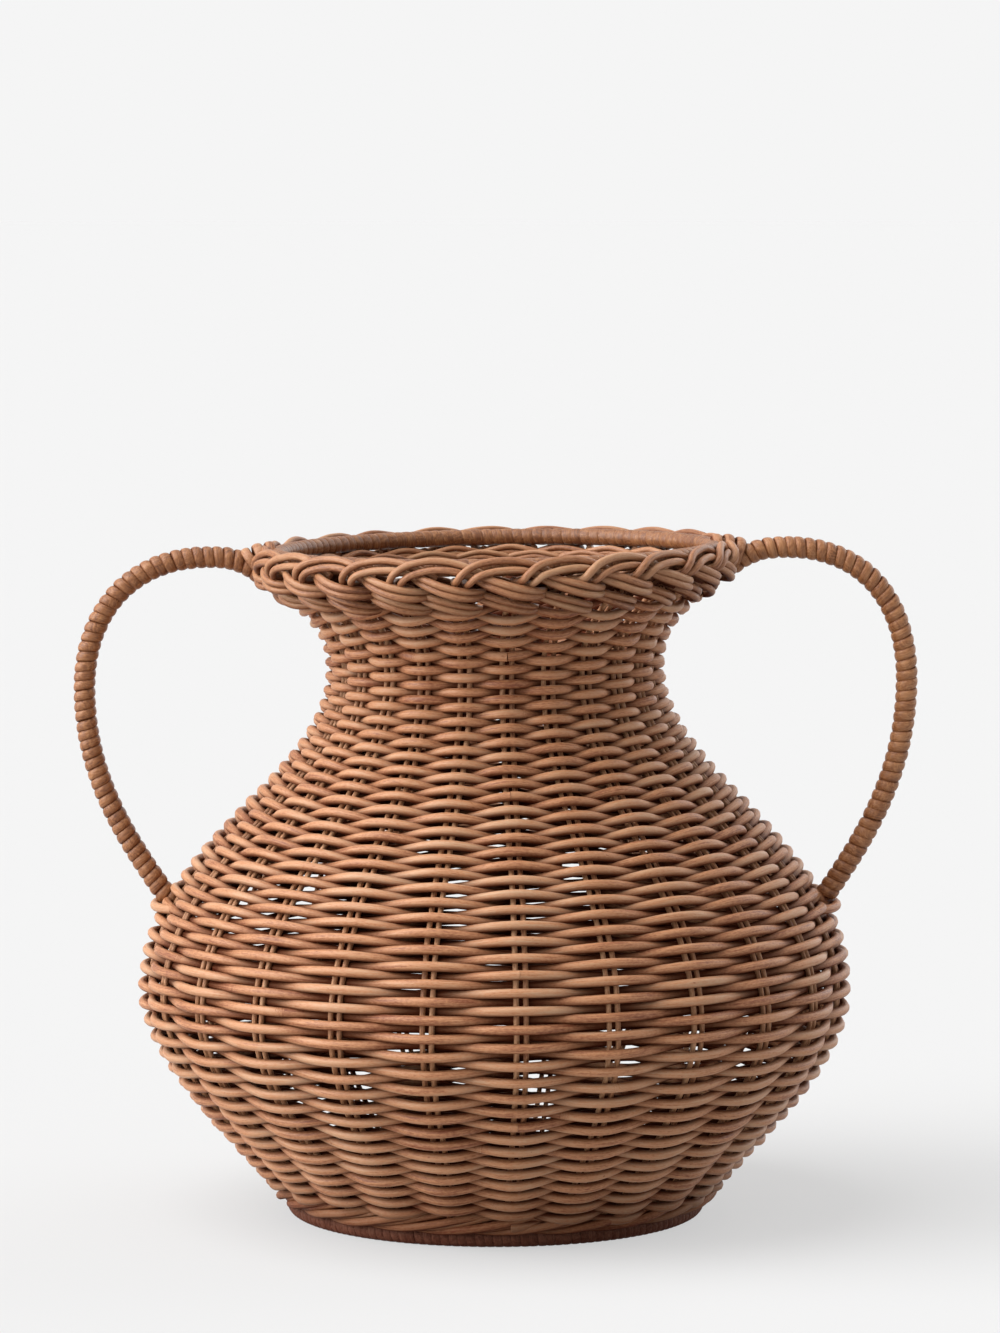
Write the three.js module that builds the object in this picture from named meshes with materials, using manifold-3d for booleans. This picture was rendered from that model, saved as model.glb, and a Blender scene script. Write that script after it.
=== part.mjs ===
// A round-bellied woven cane vase with two wrapped loop handles.
// Millimetres, +Z up, origin in the middle of the underside. The handles lie along X and -Y is the front.
import * as THREE from "three";
import { mergeVertices } from "three/addons/utils/BufferGeometryUtils.js";
import Module from "manifold-3d";

const wasm = await Module();
wasm.setup();

// Cane and the count of stakes
const rodDiameter = 2.2; // each of the two rods that lie side by side in a stake pair
const rodGap = 1.8; // between the two rods
const weaverDiameter = 4.2; // round cane that is woven round the stakes
const stakePairs = 24;
const stakeTurn = 3.85; // degrees from the front to the nearest stake pair, towards +X
const stakeSeatShare = 0.6; // of a pair's width that lies flat in its groove
const clearance = 0.3; // kept between neighbouring pieces

// The wrapped hoops of the foot and of the rim
const footHoopRadius = 90.5; // to the middle of the hoop
const rimHoopRadius = 98;
const hoopCorners = 6; // of a hoop's section
const hoopCoreSection = 2.9; // radius of the rod inside the wrapping
const hoopWrapThickness = 1.05;

// The wall, measured to the middle of its thickness
const footSlope = 61; // degrees from level at which the wall leaves the foot
const footReach = 22; // how far it keeps that slope
const bellyRadius = 155.8;
const bellyHeight = 103;
const bellyFullnessBelow = 34; // length of the upright stretch under and over the widest place
const bellyFullnessAbove = 62;
const neckRadius = 70.8;
const bellyToNeck = 145; // height of the narrowest place over the widest
const neckLengthBelow = 52;
const neckLengthAbove = 26;
const neckToRim = 50.5; // height of the rim hoop over the narrowest place
const flareSlope = 51; // degrees from level at which the wall ends under the rim
const flareReach = 17;
const ringSpacing = 26; // distance along the wall between two rings of corners

// Rows of weaving up the wall: how many there are in each stretch, and the pitch of its first and last row
const weavingStart = 7.5; // distance along the wall from the foot hoop to the first row
const weavingStretches = [
  { rows: 18, firstPitch: 3.4, lastPitch: 3.95 },
  { rows: 18, firstPitch: 3.95, lastPitch: 3.65 },
  { rows: 24, firstPitch: 3.65, lastPitch: 3.75 },
  { rows: 20, firstPitch: 3.55, lastPitch: 3.45 },
  { rows: 6, firstPitch: 3.7, lastPitch: 3.9 },
];
const rowsPerTurn = 2; // two weavers follow each other round and climb side by side
const rowMargin = 1.6; // least distance from a row to the edge of its band
const weaveSkin = 0.55; // weaving left over a stake's groove where a weaver passes behind

// Where one band of weaving ends and the next begins
const waleRise = 11; // over the foot hoop
const lowerBandDrop = 37; // under the widest place
const bellyBandRise = 25; // over it
const shoulderBandDrop = 50; // under the narrowest place
const neckBandRise = 16; // over it
const plaitDrop = 16.5; // from the rim hoop down to the plait's lower edge

// The rim: a plait of canes laid over the wrapped hoop
const stakeTipAngle = -57.5; // where the stakes end, seen from the middle of the hoop's section
const stakeTipGap = 0.8;
const plaitCover = 2.05; // thickness of the plait over the hoop's top
const plaitWidth = 9.85; // and outside it
const plaitCoverEnd = 85; // degrees round the hoop at which the plait ends, just short of its top
const plaitEdgeAngles = [plaitCoverEnd, 55, 25, -10, -40];

// The base: two layers of crossed sticks held in a woven disc
const baseLift = 1.5;
const baseStickWidth = 2.4;
const baseStickPitch = 6;
const baseSticksEachWay = 3;
const baseSkin = 1.1; // weaving under the lower sticks and over the upper ones

// The two handles, in the plane through both: distances from the axis and heights
const handleCoreRadius = 2.7;
const handleCaneThickness = 0.85;
const handleBendSpare = 0.28; // room for the core's straight steps in the bends
const handleTopDrop = 1; // from the rim hoop down to where the handle leaves the rim
const handleTopSlope = 12; // degrees
const handleTopReach = 45;
const handleSpread = 73; // from the edge of the plait out to the handle's widest place
const handleWidestDrop = 57.5; // under the handle's start
const handleFullnessAbove = 42;
const handleFullnessBelow = 36;
const handleFootRise = 39; // height over the widest place of the vase at which it enters the wall
const handleFootSlope = 55;
const handleFootReach = 38;
const handleTuck = 5.5; // length of the core inside the rim and inside the wall
const handleCoreSteps = 28;
const handleCoreSides = 8;
const handleWrapTurns = 40;
const handleWrapShare = 0.86; // of each turn's pitch that the flat cane covers
const stepsPerTurn = 8;

// The rim is a little higher on the +X side, as it came from the weaver's hand
const rimLean = 1; // degrees

// Colour and roughness of each kind of cane on the vase
const finishes = {
  weave: { color: 0xa06b48, roughness: 0.55 },
  stakes: { color: 0x8a5d42, roughness: 0.6 },
  plait: { color: 0xb27c4e, roughness: 0.5 },
  rimWrapping: { color: 0x9a6847, roughness: 0.55 },
  footWrapping: { color: 0x6f4534, roughness: 0.6 },
  handleRod: { color: 0xa5714b, roughness: 0.55 },
  handleWrapping: { color: 0xa5714b, roughness: 0.5 },
  base: { color: 0x8b5f40, roughness: 0.6 },
};

// Working values of the geometry: halvings in the search for a height, and how near two corners are one
const heightSearchSteps = 40;
const mergeDistance = 1e-4;

const radians = THREE.MathUtils.degToRad;
const segments = 2 * stakePairs;
const weaveBulge = rodDiameter / 2 + weaverDiameter; // a weaver in front of a stake
const weaveCrossing = weaverDiameter / 2; // weavers passing between two stakes
const stakeWidth = 2 * rodDiameter + rodGap;
const stakeSeatWidth = stakeWidth * stakeSeatShare;
const cornerShare = Math.cos(Math.PI / hoopCorners); // a hoop section's flat sides against its corners
const hoopSleeveInner = hoopCoreSection + clearance / cornerShare;
const hoopSection = hoopSleeveInner + hoopWrapThickness;
const besideHoop = hoopSection + clearance / cornerShare;

function direction(degrees, length) {
  const a = radians(degrees);
  return new THREE.Vector2(length * Math.cos(a), length * Math.sin(a));
}

// Middle line of the wall as radius and height, from the foot hoop to the tips of the stakes
const neckHeight = bellyHeight + bellyToNeck;
const rimHoopHeight = neckHeight + neckToRim;
const footHoopHeight = hoopSection * cornerShare;
const footHoopCentre = new THREE.Vector2(footHoopRadius, footHoopHeight);
const rimHoopCentre = new THREE.Vector2(rimHoopRadius, rimHoopHeight);
const stakeTipDistance = hoopSection + clearance + rodDiameter / 2 + stakeTipGap;
const wallStart = footHoopCentre.clone().add(direction(footSlope, hoopSection + clearance));
const wallEnd = rimHoopCentre.clone().add(direction(stakeTipAngle, stakeTipDistance));
const belly = new THREE.Vector2(bellyRadius, bellyHeight);
const neck = new THREE.Vector2(neckRadius, neckHeight);

const wall = new THREE.CurvePath();
wall.add(
  new THREE.CubicBezierCurve(
    wallStart,
    wallStart.clone().add(direction(footSlope, footReach)),
    new THREE.Vector2(bellyRadius, bellyHeight - bellyFullnessBelow),
    belly,
  ),
);
wall.add(
  new THREE.CubicBezierCurve(
    belly,
    new THREE.Vector2(bellyRadius, bellyHeight + bellyFullnessAbove),
    new THREE.Vector2(neckRadius, neckHeight - neckLengthBelow),
    neck,
  ),
);
wall.add(
  new THREE.CubicBezierCurve(
    neck,
    new THREE.Vector2(neckRadius, neckHeight + neckLengthAbove),
    wallEnd.clone().sub(direction(flareSlope, flareReach)),
    wallEnd,
  ),
);
const wallLength = wall.getLength();

// Distance along the wall at which it reaches a height
function distanceAtHeight(height) {
  let low = 0;
  let high = 1;
  for (let i = 0; i < heightSearchSteps; i++) {
    const middle = (low + high) / 2;
    if (wall.getPoint(middle).y < height) low = middle;
    else high = middle;
  }
  return low * wallLength;
}

// Radius and height of a point that stands off the wall's middle line, outwards where offset is positive
function wallPoint(distance, offset) {
  const t = THREE.MathUtils.clamp(distance / wallLength, 0, 1);
  const tangent = wall.getTangent(t);
  return wall.getPoint(t).add(new THREE.Vector2(tangent.y, -tangent.x).multiplyScalar(offset));
}

// Turns a radius, a height and an angle from the front into a place
function placed(point, angle) {
  return new THREE.Vector3(point.x * Math.sin(angle), -point.x * Math.cos(angle), point.y);
}

// The weaving's inner face has a groove for each stake pair, this far out from the wall's middle line
function grooveFloor(radius) {
  const halfPitch = radius * Math.sin(Math.PI / stakePairs);
  const share = stakeSeatWidth / 2 / halfPitch;
  const slant = (rodDiameter + weaveCrossing) / halfPitch; // of the groove's sides
  const upright = clearance * Math.hypot(1, slant);
  return (rodDiameter / 2 + upright + weaveCrossing * share) / (1 - share);
}

// Faces between one ring of corners and the next. Each ring has the same count of corners.
function facesBetween(rings) {
  const faces = [];
  for (let i = 0; i < rings.length - 1; i++) {
    const [from, to] = [rings[i], rings[i + 1]];
    for (let j = 0; j < from.length; j++) {
      const k = (j + 1) % from.length;
      faces.push([from[j], from[k], to[k]], [from[j], to[k], to[j]]);
    }
  }
  return faces;
}

// One surface from loose faces, with the corners that lie together made one
function surfaceFrom(faces) {
  const geometry = new THREE.BufferGeometry().setFromPoints(faces.flat());
  return mergeVertices(geometry, mergeDistance);
}

// Joins rings of corners into one closed surface. Each ring has the same count of corners.
function loft(rings, closed) {
  const sides = rings[0].length;
  const corners = rings.flat();
  const faces = [];
  const spans = closed ? rings.length : rings.length - 1;
  for (let i = 0; i < spans; i++) {
    const from = i * sides;
    const to = ((i + 1) % rings.length) * sides;
    for (let j = 0; j < sides; j++) {
      const k = (j + 1) % sides;
      faces.push(from + j, from + k, to + k, from + j, to + k, to + j);
    }
  }
  if (!closed) {
    const last = (rings.length - 1) * sides;
    for (let j = 1; j < sides - 1; j++) {
      faces.push(0, j + 1, j);
      faces.push(last, last + j, last + j + 1);
    }
  }
  const geometry = new THREE.BufferGeometry().setFromPoints(corners);
  geometry.setIndex(faces);
  return geometry;
}

// Raises the +X side of the rim and lowers the other, less and less down to the handles' feet
const leanStartHeight = bellyHeight + handleFootRise;

function lean(geometry) {
  const places = geometry.getAttribute("position");
  const slope = Math.tan(radians(rimLean));
  for (let i = 0; i < places.count; i++) {
    const share = THREE.MathUtils.smoothstep(places.getZ(i), leanStartHeight, rimHoopHeight);
    places.setZ(i, places.getZ(i) + slope * places.getX(i) * share);
  }
}

const vase = new THREE.Group();
const base = new THREE.Group();
const foot = new THREE.Group();
const wallPieces = new THREE.Group();
const rim = new THREE.Group();
const handles = new THREE.Group();
vase.add(base, foot, wallPieces, rim, handles);

function addPiece(group, name, geometry, finish) {
  lean(geometry);
  geometry.computeVertexNormals();
  const material = new THREE.MeshStandardMaterial({ ...finish, metalness: 0 });
  const mesh = new THREE.Mesh(geometry, material);
  mesh.name = name;
  group.add(mesh);
}

// A ring round the vase's axis from a closed outline of radii and heights, its corners in line with the stakes
function ringSolid(outline) {
  const closedOutline = [...outline, outline[0].clone()];
  const ring = new THREE.LatheGeometry(closedOutline, segments, radians(stakeTurn), 2 * Math.PI);
  return ring.rotateX(Math.PI / 2);
}

function solidFrom(geometry) {
  const bare = geometry.clone();
  bare.deleteAttribute("normal");
  bare.deleteAttribute("uv");
  const merged = mergeVertices(bare, mergeDistance);
  return new wasm.Manifold(
    new wasm.Mesh({
      numProp: 3,
      vertProperties: merged.getAttribute("position").array,
      triVerts: new Uint32Array(merged.index.array),
    }),
  );
}

function geometryFrom(solid) {
  const mesh = solid.getMesh();
  const geometry = new THREE.BufferGeometry();
  geometry.setAttribute("position", new THREE.BufferAttribute(mesh.vertProperties, 3));
  geometry.setIndex(new THREE.BufferAttribute(mesh.triVerts, 1));
  return geometry;
}

// Bands of weaving: each weaver stands out before one stake and falls back behind the next, and the
// inner face has grooves for the stakes
const flareBandTop = rimHoopHeight - plaitDrop;
const bandEdges = [
  ["foot_wale", wallStart.y + waleRise, true],
  ["lower_weave", bellyHeight - lowerBandDrop, false],
  ["belly_weave", bellyHeight + bellyBandRise, false],
  ["shoulder_weave", neckHeight - shoulderBandDrop, false],
  ["neck_weave", neckHeight + neckBandRise, false],
  ["flare_weave", flareBandTop, false],
];

function stakeAngle(stake) {
  return radians(stakeTurn) + (stake * 2 * Math.PI) / stakePairs;
}

// How far out the weaving stands at a stake where a weaver passes behind it
function recess(distance) {
  return grooveFloor(wallPoint(distance, 0).x) + weaveSkin;
}

function bandRing(distance, smooth) {
  const edge = smooth ? weaveBulge : (weaveBulge + recess(distance)) / 2;
  const outer = [];
  const inner = [];
  for (let i = 0; i < segments; i++) {
    const atStake = i % 2 === 0;
    const bulge = atStake || smooth ? edge : weaveCrossing;
    const hollow = atStake ? grooveFloor(wallPoint(distance, 0).x) : -weaveCrossing;
    outer.push(placed(wallPoint(distance, bulge), stakeAngle(i / 2)));
    inner.push(placed(wallPoint(distance, hollow), stakeAngle(i / 2)));
  }
  return { outer, inner };
}

// Distances along the wall of a band's rings, evenly spaced from its lower to its upper edge
function bandStops(from, to) {
  const steps = Math.max(1, Math.round((to - from) / ringSpacing));
  return Array.from({ length: steps + 1 }, (_, i) => from + ((to - from) * i) / steps);
}

function smoothBand(stops) {
  const rings = stops.map((distance) => bandRing(distance, true));
  return loft([...rings.map((r) => r.outer), ...rings.map((r) => r.inner).reverse()], true);
}

// Distance along the wall of a row, counted from the lowest, or of a place between two rows
function rowPlace(row) {
  let start = weavingStart;
  let above = row;
  let stretch = weavingStretches[0];
  for (const next of weavingStretches.slice(1)) {
    if (above < stretch.rows) break;
    start += (stretch.rows * (stretch.firstPitch + stretch.lastPitch)) / 2;
    above -= stretch.rows;
    stretch = next;
  }
  const growth = (stretch.lastPitch - stretch.firstPitch) / stretch.rows;
  return start + stretch.firstPitch * above + (growth * above ** 2) / 2;
}

// The rows at one stake between two distances along the wall, in front of the stake and behind it by turns
function rowsAtStake(stake, from, to) {
  const climb = (rowsPerTurn * stake) / stakePairs;
  const found = [];
  for (let row = -rowsPerTurn; rowPlace(row + climb) < to - rowMargin; row++) {
    const distance = rowPlace(row + climb);
    const inFront = (row + stake) % 2 === 0;
    const bulge = inFront ? weaveBulge : recess(distance);
    const corner = placed(wallPoint(distance, bulge), stakeAngle(stake));
    if (distance > from + rowMargin) found.push({ row, inFront, corner });
  }
  return found;
}

// The outside of a band between two neighbouring stakes. The lists run from the lower to the upper edge,
// and each face takes the next row up on one side, so that a recess is joined to the recesses round it.
function facesBetweenStakes(left, right, lowerMiddle, upperMiddle) {
  const faces = [
    [left[0].corner, lowerMiddle, left[1].corner],
    [lowerMiddle, right[0].corner, right[1].corner],
    [lowerMiddle, right[1].corner, left[1].corner],
  ];
  let i = 1;
  let j = 1;
  while (i < left.length - 2 || j < right.length - 2) {
    const [here, there] = [left[i], right[j]];
    const leftFirst = here.row < there.row || (here.row === there.row && here.inFront);
    if (j === right.length - 2 || (leftFirst && i < left.length - 2)) {
      faces.push([here.corner, there.corner, left[i + 1].corner]);
      i++;
    } else {
      faces.push([here.corner, there.corner, right[j + 1].corner]);
      j++;
    }
  }
  faces.push([left[i].corner, upperMiddle, left[i + 1].corner]);
  faces.push([right[j].corner, right[j + 1].corner, upperMiddle]);
  faces.push([left[i].corner, right[j].corner, upperMiddle]);
  return faces;
}

function wovenBand(stops) {
  const rings = stops.map((distance) => bandRing(distance, false));
  const lower = rings[0].outer;
  const upper = rings.at(-1).outer;
  const faces = facesBetween([upper, ...rings.map((r) => r.inner).reverse(), lower]);
  const columns = Array.from({ length: stakePairs + 1 }, (_, stake) => [
    { corner: lower[(2 * stake) % segments] },
    ...rowsAtStake(stake, stops[0], stops.at(-1)),
    { corner: upper[(2 * stake) % segments] },
  ]);
  for (let stake = 0; stake < stakePairs; stake++) {
    const middle = 2 * stake + 1;
    faces.push(...facesBetweenStakes(columns[stake], columns[stake + 1], lower[middle], upper[middle]));
  }
  return surfaceFrom(faces);
}

const stakeStops = [clearance];
const bands = new Map();
let bandStart = 0;
for (const [name, top, smooth] of bandEdges) {
  const bandEnd = distanceAtHeight(top);
  const stops = bandStops(bandStart, bandEnd - clearance);
  bands.set(name, smooth ? smoothBand(stops) : wovenBand(stops));
  stakeStops.push(...stops.slice(1));
  bandStart = bandEnd;
}
stakeStops.push(wallLength);

// A stake pair: two rods side by side that run up the inside of the weaving from the foot to the rim
function stakeSolid(angle) {
  const along = new THREE.Vector3(Math.cos(angle), Math.sin(angle), 0);
  const half = rodDiameter / 2;
  const section = [
    [-stakeSeatWidth / 2, half],
    [stakeSeatWidth / 2, half],
    [stakeWidth / 2, -half],
    [-stakeWidth / 2, -half],
  ];
  const rings = stakeStops.map((distance) =>
    section.map(([aside, out]) => placed(wallPoint(distance, out), angle).addScaledVector(along, aside)),
  );
  return loft(rings, false);
}

for (let i = 0; i < stakePairs; i++) {
  const name = "stake_pair_" + String(i + 1).padStart(2, "0");
  addPiece(wallPieces, name, stakeSolid(stakeAngle(i)), finishes.stakes);
}

// Wrapped hoops: a rod, and its wrapping as a sleeve that stays open along one hidden side.
// The angles go round the hoop's section, in degrees, and the last one leaves the opening.
const sleeveAngles = [180, 240, 300, 360, 420, 470];
const coreAngles = Array.from({ length: hoopCorners }, (_, i) => (i * 360) / hoopCorners);

function aroundSection(centre, degrees, radius) {
  return centre.clone().add(direction(degrees, radius));
}

function hoopCore(centre) {
  return ringSolid(coreAngles.map((a) => aroundSection(centre, a, hoopCoreSection)));
}

function hoopSleeve(centre, turn) {
  const outside = sleeveAngles.map((a) => aroundSection(centre, a + turn, hoopSection));
  const inside = sleeveAngles.map((a) => aroundSection(centre, a + turn, hoopSleeveInner)).reverse();
  return ringSolid([...outside, ...inside]);
}

addPiece(foot, "foot_hoop_core", hoopCore(footHoopCentre), finishes.base);
addPiece(foot, "foot_hoop_wrap", hoopSleeve(footHoopCentre, 0), finishes.footWrapping);
addPiece(rim, "rim_hoop_core", hoopCore(rimHoopCentre), finishes.base);
addPiece(rim, "rim_hoop_wrap", hoopSleeve(rimHoopCentre, 180), finishes.rimWrapping);

// The plait's outline: up the outside of the stakes, over the hoop, and back down its rounded outer edge
const plaitReach = besideHoop + plaitWidth;
const plaitRise = besideHoop + plaitCover;

function plaitOutline() {
  const standOff = rodDiameter / 2 + clearance;
  const bottom = distanceAtHeight(flareBandTop);
  const tip = wallPoint(wallLength, standOff);
  const outline = [wallPoint(bottom, grooveFloor(wallPoint(bottom, 0).x)), tip];
  outline.push(tip.clone().add(direction(flareSlope, rodDiameter / 2 + clearance)));
  for (const a of [...coreAngles.slice(0, 2), plaitCoverEnd]) {
    outline.push(aroundSection(rimHoopCentre, a, besideHoop));
  }
  for (const a of plaitEdgeAngles) {
    const edge = new THREE.Vector2(plaitReach * Math.cos(radians(a)), plaitRise * Math.sin(radians(a)));
    outline.push(rimHoopCentre.clone().add(edge));
  }
  outline.push(wallPoint(bottom, weaveBulge));
  return outline.reverse();
}

// Middle line of a handle in its own plane, from the rim's edge to the wall's outer face
const handleTop = new THREE.Vector2(rimHoopRadius + plaitReach, rimHoopHeight - handleTopDrop);
const handleWide = handleTop.clone().add(new THREE.Vector2(handleSpread, -handleWidestDrop));
const handleFoot = wallPoint(distanceAtHeight(bellyHeight + handleFootRise), weaveBulge);

function asPlace(point) {
  return new THREE.Vector3(point.x, 0, point.y);
}

const handleLine = new THREE.CurvePath();
handleLine.add(
  new THREE.CubicBezierCurve3(
    asPlace(handleTop),
    asPlace(handleTop.clone().add(direction(handleTopSlope, handleTopReach))),
    asPlace(handleWide.clone().add(new THREE.Vector2(0, handleFullnessAbove))),
    asPlace(handleWide),
  ),
);
handleLine.add(
  new THREE.CubicBezierCurve3(
    asPlace(handleWide),
    asPlace(handleWide.clone().sub(new THREE.Vector2(0, handleFullnessBelow))),
    asPlace(handleFoot.clone().add(direction(handleFootSlope, handleFootReach))),
    asPlace(handleFoot),
  ),
);
const handleLength = handleLine.getLength();

// The same line with straight ends that are tucked into the rim and the wall
function tuckedLine() {
  const start = asPlace(handleTop.clone().sub(direction(handleTopSlope, handleTuck)));
  const end = asPlace(handleFoot.clone().sub(direction(handleFootSlope, handleTuck)));
  const line = new THREE.CurvePath();
  line.add(new THREE.LineCurve3(start, asPlace(handleTop)));
  for (const curve of handleLine.curves) line.add(curve);
  line.add(new THREE.LineCurve3(asPlace(handleFoot), end));
  return line;
}

function roundRod(line, radius, steps) {
  const section = new THREE.Shape();
  for (let i = 0; i < handleCoreSides; i++) {
    const a = ((i + 0.5) * 2 * Math.PI) / handleCoreSides;
    const corner = [radius * Math.cos(a), radius * Math.sin(a)];
    if (i === 0) section.moveTo(...corner);
    else section.lineTo(...corner);
  }
  section.closePath();
  return new THREE.ExtrudeGeometry(section, { steps, extrudePath: line, bevelEnabled: false });
}

// Flat cane wound round the core: one unbroken helix whose turns follow the handle's bends
const handleWrapInner =
  (handleCoreRadius + clearance + handleBendSpare) / Math.cos(Math.PI / stepsPerTurn);
const handleWrapOuter = handleWrapInner + handleCaneThickness;

function handleWrap() {
  const pitch = handleLength / (handleWrapTurns + 1);
  const half = (pitch * handleWrapShare) / 2;
  const section = [
    [-half, handleWrapInner],
    [0, handleWrapOuter],
    [half, handleWrapInner],
  ];
  const rings = [];
  const count = handleWrapTurns * stepsPerTurn;
  for (let i = 0; i <= count; i++) {
    const angle = (i * 2 * Math.PI) / stepsPerTurn;
    const middle = pitch * (0.5 + i / stepsPerTurn);
    rings.push(
      section.map(([shift, radius]) => {
        const t = THREE.MathUtils.clamp((middle + shift) / handleLength, 0, 1);
        const tangent = handleLine.getTangent(t);
        const outward = new THREE.Vector3(tangent.z, 0, -tangent.x).multiplyScalar(-Math.cos(angle));
        outward.y = Math.sin(angle);
        return handleLine.getPoint(t).addScaledVector(outward, radius);
      }),
    );
  }
  return rings;
}

// Least distance between a corner of one turn and the corners of the turns after it
function leastSelfGap(rings) {
  let least = Infinity;
  for (let i = 0; i < rings.length; i++) {
    const end = Math.min(rings.length, i + 2 * stepsPerTurn);
    for (let j = i + stepsPerTurn / 2 + 1; j < end; j++) {
      for (const a of rings[i]) for (const b of rings[j]) least = Math.min(least, a.distanceTo(b));
    }
  }
  return least;
}

const wrapRings = handleWrap();
const wrapGap = leastSelfGap(wrapRings);
console.log("least gap between turns of a handle's wrapping: " + wrapGap.toFixed(2) + " mm");

// Opens the holes that reach into the piece
function cutWhereMet(geometry, holes) {
  let solid = solidFrom(geometry);
  const met = holes.filter((hole) => solid.intersect(hole).volume() > 0);
  if (met.length === 0) return geometry;
  for (const hole of met) solid = solid.subtract(hole);
  return geometryFrom(solid);
}

const handleHoles = [];
for (const [side, turn] of [["right", 0], ["left", Math.PI]]) {
  const core = roundRod(tuckedLine(), handleCoreRadius, handleCoreSteps);
  const hole = roundRod(tuckedLine(), handleCoreRadius + clearance, handleCoreSteps);
  handleHoles.push(solidFrom(hole.rotateZ(turn)));
  const wrap = loft(wrapRings, false);
  addPiece(handles, "handle_core_" + side, core.rotateZ(turn), finishes.handleRod);
  addPiece(handles, "handle_wrap_" + side, wrap.rotateZ(turn), finishes.handleWrapping);
}
const plait = cutWhereMet(ringSolid(plaitOutline()), handleHoles);
addPiece(rim, "rim_plait", plait, finishes.plait);
for (const [name, band] of bands) {
  addPiece(wallPieces, name, cutWhereMet(band, handleHoles), finishes.weave);
}

// The base: a woven disc with tunnels for two crossing layers of straight sticks
const baseRadius = footHoopRadius - hoopSection - clearance;
const baseThickness = 2 * baseSkin + 2 * baseStickWidth + clearance;

function baseStick(index, across, spare) {
  const aside = (index - (baseSticksEachWay - 1) / 2) * baseStickPitch;
  const reach = Math.sqrt(baseRadius ** 2 - (Math.abs(aside) + baseStickWidth) ** 2) - 2 * clearance;
  const length = 2 * (spare ? baseRadius + hoopSection : reach);
  const width = baseStickWidth + 2 * spare;
  const layer = across ? baseStickWidth + clearance : 0;
  const height = baseLift + baseSkin + baseStickWidth / 2 + layer;
  const stick = new THREE.BoxGeometry(length, width, width);
  stick.translate(0, aside, height);
  return across ? stick.rotateZ(Math.PI / 2) : stick;
}

const baseOutline = [
  new THREE.Vector2(0, baseLift),
  new THREE.Vector2(baseRadius, baseLift),
  new THREE.Vector2(baseRadius, baseLift + baseThickness),
  new THREE.Vector2(0, baseLift + baseThickness),
];
const disc = new THREE.LatheGeometry(baseOutline, segments, radians(stakeTurn), 2 * Math.PI);
let baseWeave = solidFrom(disc.rotateX(Math.PI / 2));
for (const across of [false, true]) {
  for (let i = 0; i < baseSticksEachWay; i++) {
    baseWeave = baseWeave.subtract(solidFrom(baseStick(i, across, clearance)));
    const name = "base_stick_" + (across ? "across_" : "along_") + (i + 1);
    addPiece(base, name, baseStick(i, across, 0), finishes.stakes);
  }
}
addPiece(base, "base_weave", geometryFrom(baseWeave), finishes.base);

export default vase;
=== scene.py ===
# Looks of a round-bellied woven cane vase with two wrapped loop handles.
# Metres, +Z up, the same frame as the model: -Y is the front and the handles lie along X.
import math

import bpy
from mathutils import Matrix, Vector
from mathutils.geometry import interpolate_bezier


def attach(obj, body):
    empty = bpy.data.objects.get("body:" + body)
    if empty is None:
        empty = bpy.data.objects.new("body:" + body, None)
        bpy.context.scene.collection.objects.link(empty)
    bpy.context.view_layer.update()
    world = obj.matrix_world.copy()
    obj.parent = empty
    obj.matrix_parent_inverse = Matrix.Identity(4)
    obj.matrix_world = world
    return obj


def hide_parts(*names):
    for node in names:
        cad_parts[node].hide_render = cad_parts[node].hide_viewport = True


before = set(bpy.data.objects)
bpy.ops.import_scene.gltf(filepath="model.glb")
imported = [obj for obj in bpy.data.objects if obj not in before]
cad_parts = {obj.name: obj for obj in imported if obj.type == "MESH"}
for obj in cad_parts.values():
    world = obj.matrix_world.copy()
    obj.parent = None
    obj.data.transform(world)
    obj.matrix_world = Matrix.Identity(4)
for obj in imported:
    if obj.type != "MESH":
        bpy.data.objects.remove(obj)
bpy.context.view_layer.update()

MM = 0.001

# The photograph's view: its width in pixels, the focal length in pixels, and the camera's place
PICTURE_WIDTH = 1000
FOCAL_PIXELS = 5610
CAMERA_PLACE = Vector((2.0, -2520, 476.2)) * MM
CAMERA_PITCH = math.radians(5.18)
SENSOR_WIDTH = 36.0

# Stakes
STAKE_PAIRS = 24
FIRST_STAKE = 3.85  # degrees from the front, towards +X
STAKE_STEP = 360 / STAKE_PAIRS
ROD_RADIUS = 1.22 * MM
ROD_SPACING = 4.1 * MM
ROD_PLACES = range(1, 345, 8)  # millimetres along the wall

# The wall's middle line, from the foot hoop up to the rim hoop, as radius and height
WALL_START = Vector((92.73, 7.74)) * MM
BELLY = Vector((155.8, 103.0)) * MM
NECK = Vector((70.8, 248.0)) * MM
WALL_END = Vector((101.49, 293.02)) * MM
FOOT_SLOPE = math.radians(61)
FLARE_SLOPE = math.radians(51)
FOOT_REACH = 22 * MM
BELLY_FULLNESS_BELOW = 34 * MM
BELLY_FULLNESS_ABOVE = 62 * MM
NECK_LENGTH_BELOW = 52 * MM
NECK_LENGTH_ABOVE = 26 * MM
FLARE_REACH = 17 * MM

# Weaving: how far a weaver swings to each side of the wall's line, and how far all of it lies outwards
WEAVER_RADIUS = 2.15 * MM
WEAVER_LENGTH = 1.9  # metres, before the next cane follows
WEAVE_SWING = 3.4 * MM
WEAVE_OUT = 0.45 * MM
WEAVE_UNEVENNESS = 0.32 * MM
WEAVE_START = 6.0 * MM

# Each band of weaving: its name, its rows, and the pitch of its first and its last row
BANDS = [
    ("lower_weave", 18, 3.5 * MM, 4.02 * MM),
    ("belly_weave", 18, 3.95 * MM, 3.65 * MM),
    ("shoulder_weave", 24, 3.65 * MM, 3.75 * MM),
    ("neck_weave", 20, 3.55 * MM, 3.45 * MM),
    ("flare_weave", 7, 3.7 * MM, 3.9 * MM),
]

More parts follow.
